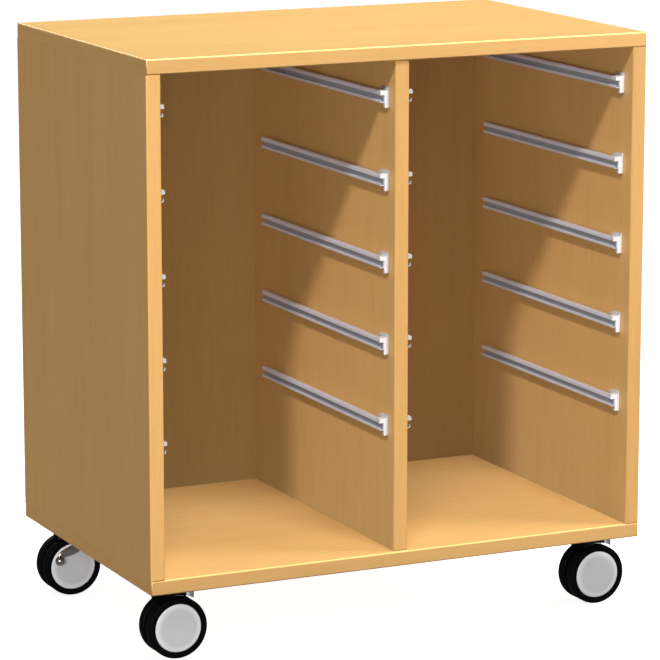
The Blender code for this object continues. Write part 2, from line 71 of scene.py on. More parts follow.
# Boards
EDGING = 2 * MM  # thickness of the edging strips
EDGING_RADIUS = 1.8 * MM
BOARD_JOINT = 0.1 * MM  # gap between two boards
BACK_EASE = 0.5 * MM

# Tray runners and their end stops
RUNNER_LEVELS = 5
WALL_FACING = {"left_bay_left": 1, "left_bay_right": -1, "right_bay_left": 1, "right_bay_right": -1}
RIB_DEPTH = 6.5 * MM
RIB_HEIGHT = 7 * MM
CHANNEL_DEPTH = 6 * MM
GROOVE_HEIGHT = 6 * MM
UPPER_LIP = 5 * MM
LOWER_LIP = 4 * MM
RUNNER_SKIN = 1.3 * MM
RUNNER_FILLET = 0.45 * MM
RUNNER_LIP_RADIUS = 1.2 * MM  # outer corners of the lips
RUNNER_HEIGHT = LOWER_LIP + GROOVE_HEIGHT + UPPER_LIP
RUNNER_PROUD = RIB_DEPTH + CHANNEL_DEPTH
STOP_LEAD = 1.5 * MM
STOP_FALL = 6.4 * MM
STOP_LEG = 7 * MM  # width of the leg beside the wall
STOP_DEPTH = 5 * MM
STOP_FOOT_EASE = 2 * MM
STOP_OVERHANG = 0.8 * MM
STOP_ARM_TIP_RISE = 0.2 * MM  # top of the arm above the runner, at its tip
STOP_ARM_ROOT_RISE = 1.0 * MM  # the same beside the wall
STOP_TONGUE = 16 * MM  # length of the tongue on top of the runner
STOP_TONGUE_SLOPE = 6 * MM
STOP_TONGUE_RISE = 0.8 * MM
STOP_FIN = 2.2 * MM  # thickness of the fin against the wall
STOP_FIN_LENGTH = 17 * MM
STOP_FIN_SLOPE = 13 * MM
STOP_FIN_RISE = 5 * MM  # above the runner
STOP_EASE = 0.35 * MM

# Casters
CORNERS = ("front_left", "front_right", "rear_left", "rear_right")
WHEEL_DIAMETER = 80 * MM
WHEEL_WIDTH = 14 * MM
WHEEL_GAP = 10 * MM
TYRE_RIM = 8.5 * MM
TREAD_SHOULDER = 3 * MM
TYRE_GROOVE = 0.5 * MM
TYRE_GROOVE_INSET = 1.6 * MM  # edge of the cap's seat to the groove
TYRE_FINE_EASE = 0.12 * MM
PARTING_LINE = 0.15 * MM
CAP_SEAT_EASE = 0.4 * MM
CAP_CROWN = 1 * MM
CAP_EDGE_DROP = 2 * MM
CAP_SKIRT = 2.7 * MM
CAP_SKIN = 2 * MM
CAP_FLATNESS = 3.0  # power of the dome's curve
CAP_RIM_HIGHLIGHT_START = 0.72  # share of the radius where the cap's painted rim highlight begins
AXLE_DIAMETER = 8 * MM
TRAIL = 6 * MM
TREAD_CLEARANCE = 3 * MM
HOOD_HEIGHT = 8 * MM
HOOD_SKIRT = 7 * MM  # how far its ends come down
HOOD_WIDTH = 32 * MM
HOOD_LEAD = 22 * MM
HOOD_TAIL = 28 * MM
BRAKE_HOOD_TAIL = 20 * MM
HOOD_SKIN = 2.5 * MM
HOOD_FILLET = 2 * MM
FORK_SIDE_PLAY = 1 * MM
FORK_BOSS_DIAMETER = 26 * MM
FORK_EASE = 0.8 * MM
KINGPIN_DIAMETER = 10 * MM
KINGPIN_HEAD_DIAMETER = 16 * MM
KINGPIN_HEAD_HEIGHT = 2.5 * MM
RACE_DIAMETER = 28 * MM
RACE_HEIGHT = 3 * MM
RACE_FILLET = 0.8 * MM
PLATE_CORNER = 6 * MM
PLATE_EASE = 0.5 * MM
SCREW_INSET = 7 * MM
SCREW_HEAD_DIAMETER = 9 * MM
SCREW_HEAD_HEIGHT = 1.9 * MM
SCREW_SLOT_LENGTH = 4.6 * MM
SCREW_SLOT_WIDTH = 1.1 * MM
SCREW_SLOT_DEPTH = 1.2 * MM
LEVER_PIN_DIAMETER = 5 * MM
LEVER_PIN_LEDGE = 1.7 * MM
LEVER_PIN_HEAD_HEIGHT = 1.5 * MM
LEVER_EYE_WALL = 2.7 * MM
LEVER_EYE_EASE = 0.5 * MM
LEVER_THICKNESS = 4 * MM
LEVER_CLEARANCE = 0.8 * MM
LEVER_REACH = 33.4 * MM
LEVER_DROP = 35.7 * MM
LEVER_ROOT_BEND = (-2 * MM, -32 * MM)
LEVER_TIP_BEND = (1 * MM, 17 * MM)
LEVER_ROOT = 11 * MM
LEVER_BELLY = 17 * MM  # pull on the blade's width in the middle
LEVER_TIP = 4.5 * MM
LEVER_FULLNESS = 0.6  # power that squares up the blade's oval section
KNOB_DIAMETER = 13 * MM
KNOB_FOOT_DIAMETER = 10.4 * MM
KNOB_WAIST = 4.3 * MM
KNOB_DOME = 6.2 * MM

# Facets
WHEEL_SIDES = 96
SMALL_SIDES = 40
BACKDROP_SIDES = 64
ARC_STEPS = 24
CORNER_STEPS = 4
EDGING_STEPS = 5
EASE_STEPS = 2
CHAMFER_STEPS = 1
PLATE_CORNER_STEPS = 8
HOOD_FILLET_STEPS = 6
RACE_FILLET_STEPS = 4
CAP_DOME_STEPS = 16
PIN_DOME_STEPS = 8
SCREW_DOME_STEPS = 10
KNOB_DOME_STEPS = 12
KNOB_FOOT_STEPS = 6
LEVER_STEPS = 24
LEVER_SECTION_STEPS = 20
SMOOTH_BELOW = math.radians(40)
SHARP_ABOVE = math.radians(30)
FORK_SHARP_ABOVE = math.radians(60)
FLAT_BELOW = math.radians(1)
END_FACE_ABOVE = 0.5  # share of a normal along the runner, for the faces that close its ends
SAME_PLACE = 0.01 * MM
SAME_POINT = 0.001 * MM

# Places worked out from the sizes above
CAP_RADIUS = WHEEL_DIAMETER / 2 - TYRE_RIM
WHEEL_FACE = WHEEL_GAP / 2 + WHEEL_WIDTH
CAP_BACK = WHEEL_FACE - CAP_EDGE_DROP - CAP_SKIRT
AXLE_HEIGHT = WHEEL_DIAMETER / 2
HOOD_BOTTOM = WHEEL_DIAMETER + TREAD_CLEARANCE
HOOD_TOP = HOOD_BOTTOM + HOOD_HEIGHT
HOOD_ROOF = HOOD_TOP - HOOD_SKIN
LEVER_BACK = max(WHEEL_FACE + CAP_CROWN, HOOD_WIDTH / 2) + LEVER_CLEARANCE
LEVER_FRONT = LEVER_BACK + LEVER_THICKNESS
LEVER_PIVOT = (HOOD_WIDTH / 2 - HOOD_LEAD, HOOD_BOTTOM + HOOD_HEIGHT / 2)

# Finishes
WOOD_PALE = (0.74, 0.440, 0.156)
WOOD_DARK = (0.60, 0.337, 0.109)
WOOD_BLUSH = (0.715, 0.385, 0.142)
WOOD_FLECK = (0.42, 0.21, 0.07)
WOOD_GLOSS = 0.2
FIGURE_SHARE = 0.45  # shares in the wood's tone
STREAK_SHARE = 0.40
FIBRE_SHARE = 0.25
BLUSH_SHARE = 0.5
FLECK_SHARE = 0.15
FLECK_DEPTH = 0.6  # depth of a fleck against a fibre's
DRAWN_LINES = (1, 0.01, 1)  # stretch of the extrusion's lines
EXTRUSION_CLOUD = 0.3
EXTRUSION_METALLIC = 0.3
MOULDED_ROUGHNESS_SPREAD = 0.06
SCRATCHES = (1, 1, 6)  # stretch of the scratches in plated metal
WHITE = (1.0, 1.0, 1.0)
PAPER_PALE = (0.84, 0.84, 0.84)
PAPER_DARK = (0.80, 0.80, 0.80)
PAPER_ROUGHNESS = 0.9
PAPER_GLOW = 0.9

# Camera, backdrop and light
CAMERA_PLACE = (-1.9661, -4.1807, 1.2923)
CAMERA_YAW = math.radians(-25.215)
CAMERA_PITCH = math.radians(11.331)
CAMERA_LENS = 192.9
SENSOR_WIDTH = 36
BACKDROP_REACH = 16.0
BACKDROP_BEND = 4.0
BACKDROP_HEIGHT = 9.0
AMBIENT = 0.215
KEY_DIRECTION = Vector((1.0, 1.0, -1.32))
KEY_SPREAD = math.radians(5)
KEY_POWER = 1.74
CARCASS_MIDDLE = (0, 0, 0.4)
SOFT_LIGHTS = {
    "bay_fill": dict(
        location=(-1.05, -2.13, 0.75), target=CARCASS_MIDDLE, size=(0.9, 0.5), power=23,
        colour=(0.86, 1.02, 1.12),
    ),
    "back_wall_fill": dict(
        location=(-1.05, -2.13, 0.75), target=CARCASS_MIDDLE, size=(0.9, 0.5), power=8.8,
        colour=(0.74, 1.06, 1.2),
    ),
    "floor_fill": dict(
        location=(-0.2, -1.3, 2.0), target=(0, 0, 0.12), size=(1.4, 0.8), power=64,
        colour=(0.93, 1.0, 1.05),
    ),
    "runner_fill": dict(
        location=(-1.05, -2.13, 1.0), target=CARCASS_MIDDLE, size=(0.9, 0.5), power=36,
        colour=(0.88, 1.0, 1.1),
    ),
    "stop_fill": dict(location=(0.5, -2.6, 1.1), target=CARCASS_MIDDLE, size=(0.6, 0.6), power=48),
    "front_fill": dict(
        location=(-1.6, -1.9, 1.0), target=CARCASS_MIDDLE, size=(0.8, 0.8), power=38,
        colour=(1.0, 0.94, 0.84),
    ),
    "edge_gleam": dict(location=(0, -0.75, 3.5), target=(0, -0.2, 0.4), size=(0.8, 0.3), power=220),
    "wheel_fill": dict(location=(-1.6, -2.0, 0.7), target=(0, 0, 0.05), size=(1.2, 0.8), power=50),
    "caster_mount_fill": dict(location=(1.4, -2.4, 0.35), target=(0, 0, 0.08), size=(0.5, 0.5), power=45),
    "right_fill": dict(location=(2.6, -1.3, 1.5), target=(0, 0, 0.45), size=(1.0, 1.2), power=70),
    "top_fill": dict(
        location=(0.1, 0.2, 2.7), target=(0, 0, 0.77), size=(1.1, 0.9), power=37.6,
        colour=(0.90, 1.0, 0.92),
    ),
    "back_fill": dict(location=(0.4, 3.0, 1.6), target=CARCASS_MIDDLE, size=(1.4, 1.2), power=60),
}


# Mesh building


def prism(outline, along, start, end):
    """A flat outline extruded along an axis: (x, y) along z, (y, z) along x or (x, z) along y."""
    place = {
        "x": lambda a, b: (start, a, b),
        "y": lambda a, b: (a, start, b),
        "z": lambda a, b: (a, b, start),
    }[along]
    step = {"x": Vector((1, 0, 0)), "y": Vector((0, 1, 0)), "z": Vector((0, 0, 1))}[along]
    bm = bmesh.new()
    face = bm.faces.new([bm.verts.new(place(a, b)) for a, b in outline])
    grown = bmesh.ops.extrude_face_region(bm, geom=[face])
    far_end = [item for item in grown["geom"] if isinstance(item, bmesh.types.BMVert)]
    bmesh.ops.translate(bm, verts=far_end, vec=step * (end - start))
    bmesh.ops.recalc_face_normals(bm, faces=bm.faces)
    return bm


def rectangle(low, high):
    return [(low[0], low[1]), (high[0], low[1]), (high[0], high[1]), (low[0], high[1])]


def block(low, high):
    """A box between two corners."""
    return prism(rectangle(low, high), "z", low[2], high[2])


def rounded(points, radius, steps=CORNER_STEPS):
    """A closed outline with its corners turned into arcs. A point may give its own radius."""
    made = []
    for index, point in enumerate(points):
        corner = Vector(point[:2])
        before = (Vector(points[index - 1][:2]) - corner).normalized()
        after = (Vector(points[(index + 1) % len(points)][:2]) - corner).normalized()
        size = point[2] if len(point) > 2 else radius
        half = before.angle(after) / 2
        centre = corner + (before + after).normalized() * size / math.sin(half)
        reach = size / math.tan(half)
        start = corner + before * reach - centre
        end = corner + after * reach - centre
        made += [tuple(centre + start.slerp(end, step / steps) * size) for step in range(steps + 1)]
    return made


def turned(profile, sides):
    """A closed profile of (radius, y) spun about Y. A profile that starts on the axis ends on it."""
    bm = bmesh.new()
    ring = [bm.verts.new((r, y, 0)) for r, y in profile]
    edges = [bm.edges.new(pair) for pair in zip(ring, ring[1:])]
    if profile[0][0] > 0:
        edges.append(bm.edges.new((ring[-1], ring[0])))
    spin_round(bm, ring + edges, (0, 1, 0), sides)
    bmesh.ops.remove_doubles(bm, verts=bm.verts, dist=SAME_POINT)
    bmesh.ops.recalc_face_normals(bm, faces=bm.faces)
    return bm


def spin_round(bm, profile, axis, sides):
    """Sweeps a profile's points and edges once round an axis."""
    centre = (0, 0, 0)
    turn = 2 * math.pi
    bmesh.ops.spin(bm, geom=profile, cent=centre, axis=axis, angle=turn, steps=sides, use_merge=True)


def bar(radius, start, end, sides=SMALL_SIDES):
    """A round bar about Y."""
    return turned([(0, start), (radius, start), (radius, end), (0, end)], sides)


def upright_bar(radius, low, high):
    """A round bar about Z between two heights."""
    return tipped(bar(radius, -high, -low), -90)


def lofted(loops):
    """A closed shape through loops of points, with its first and last loop filled in."""
    bm = bmesh.new()
    rings = [[bm.verts.new(point) for point in loop] for loop in loops]
    for ring, following in zip(rings, rings[1:]):
        for index in range(len(ring)):
            after = (index + 1) % len(ring)
            bm.faces.new((ring[index], ring[after], following[after], following[index]))
    bm.faces.new(rings[0])
    bm.faces.new(rings[-1])
    bmesh.ops.recalc_face_normals(bm, faces=bm.faces)
    return bm


def shifted(bm, x=0.0, y=0.0, z=0.0):
    bmesh.ops.translate(bm, verts=bm.verts, vec=(x, y, z))
    return bm


def tipped(bm, degrees):
    """The shape turned about the X axis."""
    turn = Matrix.Rotation(math.radians(degrees), 3, "X")
    bmesh.ops.rotate(bm, verts=bm.verts, cent=(0, 0, 0), matrix=turn)
    return bm


def eased(bm, edges, radius, steps):
    bmesh.ops.bevel(bm, geom=edges, offset=radius, segments=steps, profile=0.5, affect="EDGES")
    return bm


def sharp_edges(bm, least=SHARP_ABOVE):
    return [e for e in bm.edges if e.is_manifold and e.calc_face_angle(0) > least]


def edges_at(edges, axis, level):
    """The edges that lie at one level across an axis."""
    return [e for e in edges if all(abs(v.co[axis] - level) < SAME_PLACE for v in e.verts)]


def arc(centre, radius, start, end, steps=ARC_STEPS):
    """Points on an arc, angles in degrees."""
    turns = [math.radians(start + (end - start) * i / steps) for i in range(steps + 1)]
    return [(centre[0] + radius * math.cos(a), centre[1] + radius * math.sin(a)) for a in turns]


def domed(radius, base, rise, steps):
    """The profile of a dome, from its rim to its top on the axis."""
    quarter = arc((0, 0), 1, 0, 90, steps)
    return [*((radius * across, base + rise * up) for across, up in quarter[:-1]), (0, base + rise)]


def mesh_of(name, bm, *finishes):
    """The mesh of a shape, shaded smooth up to its sharp edges."""
    mesh = bpy.data.meshes.new(name)
    bm.to_mesh(mesh)
    bm.free()
    for finish in finishes:
        mesh.materials.append(finish)
    mesh.shade_smooth()
    mesh.set_sharp_from_angle(angle=SMOOTH_BELOW)
    return mesh


def joined(shapes, cutters=()):
    """One shape: the shapes united, then the cutters taken away."""
    made = []
    for shape in [*shapes, *cutters]:
        mesh = bpy.data.meshes.new("shape")
        shape.to_mesh(mesh)
        shape.free()
        made.append(bpy.data.objects.new("shape", mesh))
        bpy.context.scene.collection.objects.link(made[-1])
    for index, other in enumerate(made[1:], start=1):
        step = made[0].modifiers.new(f"step_{index}", "BOOLEAN")
        step.operation = "UNION" if index < len(shapes) else "DIFFERENCE"
        step.solver = "EXACT"
        step.object = other
    evaluated = made[0].evaluated_get(bpy.context.evaluated_depsgraph_get())
    bm = bmesh.new()
    bm.from_mesh(evaluated.to_mesh())
    for used in made:
        bpy.data.objects.remove(used, do_unlink=True)
    bmesh.ops.dissolve_limit(bm, angle_limit=FLAT_BELOW, verts=bm.verts, edges=bm.edges)
    return bm


def piece(name, mesh, body, nodes=(), location=(0, 0, 0), turn=0.0):
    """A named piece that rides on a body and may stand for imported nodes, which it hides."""
    made = bpy.data.objects.new(name, mesh)
    bpy.context.scene.collection.objects.link(made)
    made.location = location
    made.rotation_euler = (0, 0, turn)
    weighted = made.modifiers.new("even_shading", "WEIGHTED_NORMAL")
    weighted.keep_sharp = True
    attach(made, body)
    if nodes:
        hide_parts(*nodes)
    return made


# Materials


def new_material(name):
    made = bpy.data.materials.new(name)
    made.use_nodes = True
    return made, made.node_tree, made.node_tree.nodes["Principled BSDF"]


def add_node(tree, kind, inputs=None, **settings):
    """A node with its settings and input values. A socket given as an input is linked."""
    made = tree.nodes.new(kind)
    for key, value in settings.items():
        setattr(made, key, value)
    for key, value in (inputs or {}).items():
        if isinstance(value, bpy.types.NodeSocket):
            tree.links.new(value, made.inputs[key])
        else:
            made.inputs[key].default_value = value
    return made


def coordinates(tree, stretch=(1, 1, 1)):
    """The piece's own coordinates in metres, each times its stretch."""
    own = add_node(tree, "ShaderNodeTexCoord").outputs["Object"]
    return add_node(tree, "ShaderNodeMapping", {"Vector": own, "Scale": stretch}).outputs["Vector"]


def noise(tree, vector, scale, detail=3.0, roughness=0.55, distortion=0.0):
    """Noise from 0 to 1. The scale counts its waves in a metre."""
    inputs = {
        "Vector": vector,
        "Scale": scale,
        "Detail": detail,
        "Roughness": roughness,
        "Distortion": distortion,
    }
    return add_node(tree, "ShaderNodeTexNoise", inputs).outputs["Fac"]


def ramp(tree, value, low, high):
    """0 below low, 1 above high."""
    inputs = {"Value": value, "From Min": low, "From Max": high}
    return add_node(tree, "ShaderNodeMapRange", inputs, clamp=True).outputs["Result"]


def between(tree, value, low, high):
    """A value from 0 to 1 spread from low to high."""
    inputs = {"Value": value, "To Min": low, "To Max": high}
    return add_node(tree, "ShaderNodeMapRange", inputs, clamp=True).outputs["Result"]


def maths(tree, operation, first, second):
    return add_node(tree, "ShaderNodeMath", {0: first, 1: second}, operation=operation).outputs["Value"]


def scaled(tree, value, share):
    return maths(tree, "MULTIPLY", value, share)


def mixed(tree, factor, first, second):
    """A colour between two, each an (r, g, b) or a socket."""
    node = add_node(tree, "ShaderNodeMix", {"Factor": factor}, data_type="RGBA")
    colours = [socket for socket in node.inputs if socket.type == "RGBA"]
    for socket, value in zip(colours, (first, second)):
        if isinstance(value, bpy.types.NodeSocket):
            tree.links.new(value, socket)
        else:
            socket.default_value = (*value, 1.0)
    return next(socket for socket in node.outputs if socket.type == "RGBA")


def bumped(tree, shader, height, strength, distance):
    inputs = {"Height": height, "Strength": strength, "Distance": distance}
    node = add_node(tree, "ShaderNodeBump", inputs)
    tree.links.new(node.outputs["Normal"], shader.inputs["Normal"])


def beech(name, grain):
    """Beech-patterned board face, with its grain along one axis."""
    made, tree, shader = new_material(name)

    def grained(stretch, scale, **settings):
        """Noise drawn out along the grain."""
        along = [stretch if axis == grain else 1.0 for axis in (X, Y, Z)]
        return noise(tree, coordinates(tree, along), scale, **settings)

    figure = grained(stretch=0.10, scale=16, detail=3, distortion=0.5)
    streaks = grained(stretch=0.05, scale=190, detail=4, roughness=0.6)
    blush = ramp(tree, grained(stretch=0.14, scale=110, detail=3, distortion=0.3), low=0.42, high=0.62)
    fibres = grained(stretch=0.025, scale=900, detail=3, roughness=0.6)
    flecks = ramp(tree, grained(stretch=0.11, scale=620, detail=1), low=0.64, high=0.72)
    tone = maths(tree, "ADD", scaled(tree, figure, FIGURE_SHARE), scaled(tree, streaks, STREAK_SHARE))
    tone = maths(tree, "ADD", tone, scaled(tree, fibres, FIBRE_SHARE))
    wood = mixed(tree, ramp(tree, tone, low=0.30, high=0.80), WOOD_PALE, WOOD_DARK)
    wood = mixed(tree, scaled(tree, blush, BLUSH_SHARE), wood, WOOD_BLUSH)
    wood = mixed(tree, scaled(tree, flecks, FLECK_SHARE), wood, WOOD_FLECK)
    tree.links.new(wood, shader.inputs["Base Color"])
    tree.links.new(between(tree, streaks, low=0.46, high=0.60), shader.inputs["Roughness"])
    shader.inputs["Specular IOR Level"].default_value = WOOD_GLOSS
    relief = maths(tree, "SUBTRACT", fibres, scaled(tree, flecks, FLECK_DEPTH))
    bumped(tree, shader, relief, strength=0.12, distance=0.05 * MM)
    return made


def aluminium(name, colour, shade):
    """Anodised extrusion, with fine drawn lines along Y."""
    made, tree, shader = new_material(name)
    lines = noise(tree, coordinates(tree, DRAWN_LINES), scale=2600, detail=3, roughness=0.7)
    cloud = noise(tree, coordinates(tree), scale=60, detail=2)
    surface = mixed(tree, lines, shade, colour)
    surface = mixed(tree, scaled(tree, cloud, EXTRUSION_CLOUD), surface, shade)
    tree.links.new(surface, shader.inputs["Base Color"])
    tree.links.new(between(tree, lines, low=0.30, high=0.46), shader.inputs["Roughness"])
    shader.inputs["Metallic"].default_value = EXTRUSION_METALLIC
    bumped(tree, shader, lines, strength=0.15, distance=0.02 * MM)
    return made


def moulded(name, colour, shade, roughness, grain_scale, bump, gloss=0.5, rim_highlight=None):
    """Moulded plastic or rubber: a fine texture, and a faint cloud of lighter and darker patches.

    A paler rim colour comes in towards the edge of a cap that is round about Y: a painted highlight where
    its rounded rim catches light.
    """
    made, tree, shader = new_material(name)
    grain = noise(tree, coordinates(tree), grain_scale, detail=2)
    cloud = noise(tree, coordinates(tree), scale=35, detail=3)
    surface = mixed(tree, cloud, colour, shade)
    if rim_highlight:
        across = coordinates(tree, stretch=(1, 0, 1))
        from_axis = add_node(tree, "ShaderNodeVectorMath", {0: across}, operation="LENGTH")
        rim_highlight_share = ramp(tree, from_axis.outputs["Value"], CAP_RIM_HIGHLIGHT_START * CAP_RADIUS, CAP_RADIUS)
        surface = mixed(tree, rim_highlight_share, surface, rim_highlight)
    tree.links.new(surface, shader.inputs["Base Color"])
    smooth = roughness - MOULDED_ROUGHNESS_SPREAD
    rough = roughness + MOULDED_ROUGHNESS_SPREAD
    tree.links.new(between(tree, grain, smooth, rough), shader.inputs["Roughness"])
    shader.inputs["Specular IOR Level"].default_value = gloss
    bumped(tree, shader, grain, bump, distance=0.03 * MM)
    return made


def plated(name, colour, shade, smooth, rough, patch_scale):
    """Plated metal with faint patches in its colour and gloss."""
    made, tree, shader = new_material(name)
    patches = noise(tree, coordinates(tree), patch_scale, detail=4, roughness=0.6)
    scratches = noise(tree, coordinates(tree, SCRATCHES), scale=900, detail=2)
    surface = mixed(tree, ramp(tree, patches, low=0.35, high=0.65), colour, shade)
    tree.links.new(surface, shader.inputs["Base Color"])
    tree.links.new(between(tree, patches, smooth, rough), shader.inputs["Roughness"])
    shader.inputs["Metallic"].default_value = 1.0
    bumped(tree, shader, scratches, strength=0.04, distance=0.02 * MM)
    return made


BEECH = {axis: beech(f"beech_along_{axis}", grain) for grain, axis in enumerate("xyz")}
ALUMINIUM = aluminium("anodised_aluminium", colour=(0.84, 0.84, 0.93), shade=(0.70, 0.70, 0.78))
# The groove's darker aluminium is painted shade: it stands in for the shade inside the runner's groove.
GROOVE_SHADE_ALUMINIUM = aluminium("dull_aluminium", colour=(0.48, 0.495, 0.54), shade=(0.38, 0.39, 0.43))
WHITE_PLASTIC = moulded(
    "white_plastic", colour=(0.80, 0.80, 0.815), shade=(0.76, 0.76, 0.78), roughness=0.42,
    grain_scale=1500, bump=0.08,
)
BLACK_RUBBER = moulded(
    "black_rubber", colour=(0.0010, 0.0010, 0.0014), shade=(0.0020, 0.0020, 0.0026), roughness=0.6,
    grain_scale=1800, bump=0.15, gloss=0.05,
)
# The cap's paler rim is a painted highlight on its rounded edge.
GREY_PLASTIC = moulded(
    "grey_plastic", colour=(0.52, 0.52, 0.53), shade=(0.47, 0.47, 0.48), roughness=0.38,
    grain_scale=1600, bump=0.06, rim_highlight=(0.74, 0.74, 0.75),
)
ZINC = plated(
    "zinc_plate", colour=(0.60, 0.62, 0.65), shade=(0.46, 0.48, 0.52), smooth=0.22, rough=0.42,
    patch_scale=180,
)
# The chrome's dark, warm base colour is a painted reflection of the brown boards above and painted shade
# under the carcass.
REFLECTION_TINTED_CHROME = plated(
    "chrome_plate", colour=(0.44, 0.41, 0.39), shade=(0.36, 0.335, 0.32), smooth=0.16, rough=0.28,
    patch_scale=90,
)


# Boards


def edging(low, high, axis, side, free_height=None):
    """An edging strip. Its outer face, with rounded edges, lies on one side across an axis.

    With a free height only the edge at that height is rounded.
    """
    bm = block(low, high)
    outer = edges_at(bm.edges, axis, high[axis] if side > 0 else low[axis])
    if free_height is not None:
        outer = edges_at(outer, Z, free_height)
    return eased(bm, outer, EDGING_RADIUS, EDGING_STEPS)


def add_full_width_board(node, free_side):
    """The top or bottom board: a panel edged all round, with the uprights against one of its faces."""
    low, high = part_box(node)
    free_height = high.z if free_side > 0 else low.z
    inset = Vector((EDGING, EDGING, 0))
    inner_low = low + inset
    inner_high = high - inset
    panel = mesh_of(node, block(inner_low, inner_high), BEECH["x"])
    piece(f"{node}_panel", panel, CARCASS, [node])
    left_low = (low.x, inner_low.y, low.z)
    left_high = (inner_low.x, inner_high.y, high.z)
    right_low = (inner_high.x, inner_low.y, low.z)
    right_high = (high.x, inner_high.y, high.z)
    strips = {
        "front": (edging(low, (high.x, inner_low.y, high.z), Y, -1), "x"),
        "rear": (edging((low.x, inner_high.y, low.z), high, Y, 1), "x"),
        "left": (edging(left_low, left_high, X, -1, free_height), "y"),
        "right": (edging(right_low, right_high, X, 1, free_height), "y"),
    }
    for place, (strip, grain) in strips.items():
        mesh = mesh_of(f"{node}_edging", strip, BEECH[grain])
        piece(f"{node}_{place}_edging", mesh, CARCASS)


def upright_span():
    """Bottom and top of the uprights, which nearly touch the boards."""
    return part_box("bottom_board")[1].z + BOARD_JOINT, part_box("top_board")[0].z - BOARD_JOINT


def add_upright(node, outline):
    """A side or the partition: a panel of that outline behind a front edging strip."""
    low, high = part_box(node)
    bottom, top = upright_span()
    panel = mesh_of(node, prism(outline, "z", bottom, top), BEECH["z"])
    piece(f"{node}_panel", panel, CARCASS, [node])
    strip = edging((low.x, low.y, bottom), (high.x, low.y + EDGING, top), Y, -1)
    piece(f"{node}_front_edging", mesh_of(f"{node}_edging", strip, BEECH["z"]), CARCASS)


def side_outline(node, side):
    """The side board behind its edging, with the rebate that takes the back."""
    low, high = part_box(node)
    back_low, back_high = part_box("back_board")
    outer, inner = (high.x, low.x) if side > 0 else (low.x, high.x)
    rebate = (back_high.x if side > 0 else back_low.x) + side * SEAT
    shoulder = back_low.y - SEAT
    front = low.y + EDGING
    return [
        (outer, front), (outer, high.y), (rebate, high.y),
        (rebate, shoulder), (inner, shoulder), (inner, front),
    ]


def add_boards():
    add_full_width_board("top_board", free_side=1)
    add_full_width_board("bottom_board", free_side=-1)
    add_upright("left_side", side_outline("left_side", -1))
    add_upright("right_side", side_outline("right_side", 1))
    low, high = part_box("partition")
    add_upright("partition", rectangle((low.x, low.y + EDGING), high))
    low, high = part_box("back_board")
    bottom, top = upright_span()
    back = block((low.x, low.y, bottom), (high.x, high.y, top))
    back = eased(back, edges_at(back.edges, Y, high.y), BACK_EASE, EASE_STEPS)
    panel = mesh_of("back_board", back, BEECH["z"])
    piece("back_board_panel", panel, CARCASS, ["back_board"])


# Tray runners


def runner_shape(facing, length):
    """The extrusion: a lipped channel on a rib, out from the wall at x = 0.

    Its groove takes the second material, a darker aluminium that is painted shade inside the groove.
    """
    half = RUNNER_HEIGHT / 2
    rib = RIB_HEIGHT / 2
    web_face = RIB_DEPTH + RUNNER_SKIN
    lip_back = RUNNER_PROUD - RUNNER_SKIN
    outline = [
        (SEAT, -rib), (RIB_DEPTH, -rib), (RIB_DEPTH, -half), (RUNNER_PROUD, -half, RUNNER_LIP_RADIUS),
        (RUNNER_PROUD, LOWER_LIP - half), (lip_back, LOWER_LIP - half),
        (lip_back, RUNNER_SKIN - half), (web_face, RUNNER_SKIN - half),
        (web_face, half - RUNNER_SKIN), (lip_back, half - RUNNER_SKIN),
        (lip_back, half - UPPER_LIP), (RUNNER_PROUD, half - UPPER_LIP),
        (RUNNER_PROUD, half, RUNNER_LIP_RADIUS), (RIB_DEPTH, half), (RIB_DEPTH, rib), (SEAT, rib),
    ]
    section = rounded(outline, RUNNER_FILLET)
    runner = prism([(facing * u, v) for u, v in section], "y", STOP_LEAD, length)
    for face in runner.faces:
        middle = face.calc_center_median()
        in_channel = web_face - SAME_PLACE < abs(middle.x) < lip_back + RUNNER_FILLET
        between_skins = abs(middle.z) < half - RUNNER_SKIN + RUNNER_FILLET
        closes_end = abs(face.normal.y) >= END_FACE_ABOVE
        # The groove's inner faces take the darker material, painted shade for the recess.
        if in_channel and between_skins and not closes_end:
            face.material_index = 1
    return runner


def stop_shape(facing):
    """The end stop: a leg and an arm in front, a tongue on top of the runner and a fin along the wall."""
    half = RUNNER_HEIGHT / 2
    bottom = -half - STOP_FALL
    under_arm = half - UPPER_LIP
    tip = RUNNER_PROUD + STOP_OVERHANG
    behind = STOP_DEPTH / 2
    tongue_top = half + STOP_TONGUE_RISE
    fin_top = half + STOP_FIN_RISE
    front = [
        (SEAT, bottom), (STOP_LEG, bottom), (STOP_LEG, under_arm), (tip, under_arm),
        (tip, half + STOP_ARM_TIP_RISE), (SEAT, half + STOP_ARM_ROOT_RISE),
    ]
    tongue = [
        (behind, half), (STOP_TONGUE, half),
        (STOP_TONGUE - STOP_TONGUE_SLOPE, tongue_top), (behind, tongue_top),
    ]
    fin = [
        (0, under_arm), (behind, under_arm), (STOP_FIN_LENGTH + STOP_FIN_SLOPE, half),
        (STOP_FIN_LENGTH, fin_top), (0, fin_top),
    ]
    plate = prism([(facing * u, v) for u, v in front], "y", 0, STOP_DEPTH)
    foot = edges_at(edges_at(plate.edges, Y, STOP_DEPTH), Z, bottom)
    stop = joined([
        eased(plate, foot, STOP_FOOT_EASE, CHAMFER_STEPS),
        prism(tongue, "x", facing * 2 * SEAT, facing * RUNNER_PROUD),
        prism(fin, "x", facing * SEAT, facing * STOP_FIN),
    ])
    return eased(stop, sharp_edges(stop), STOP_EASE, EASE_STEPS)


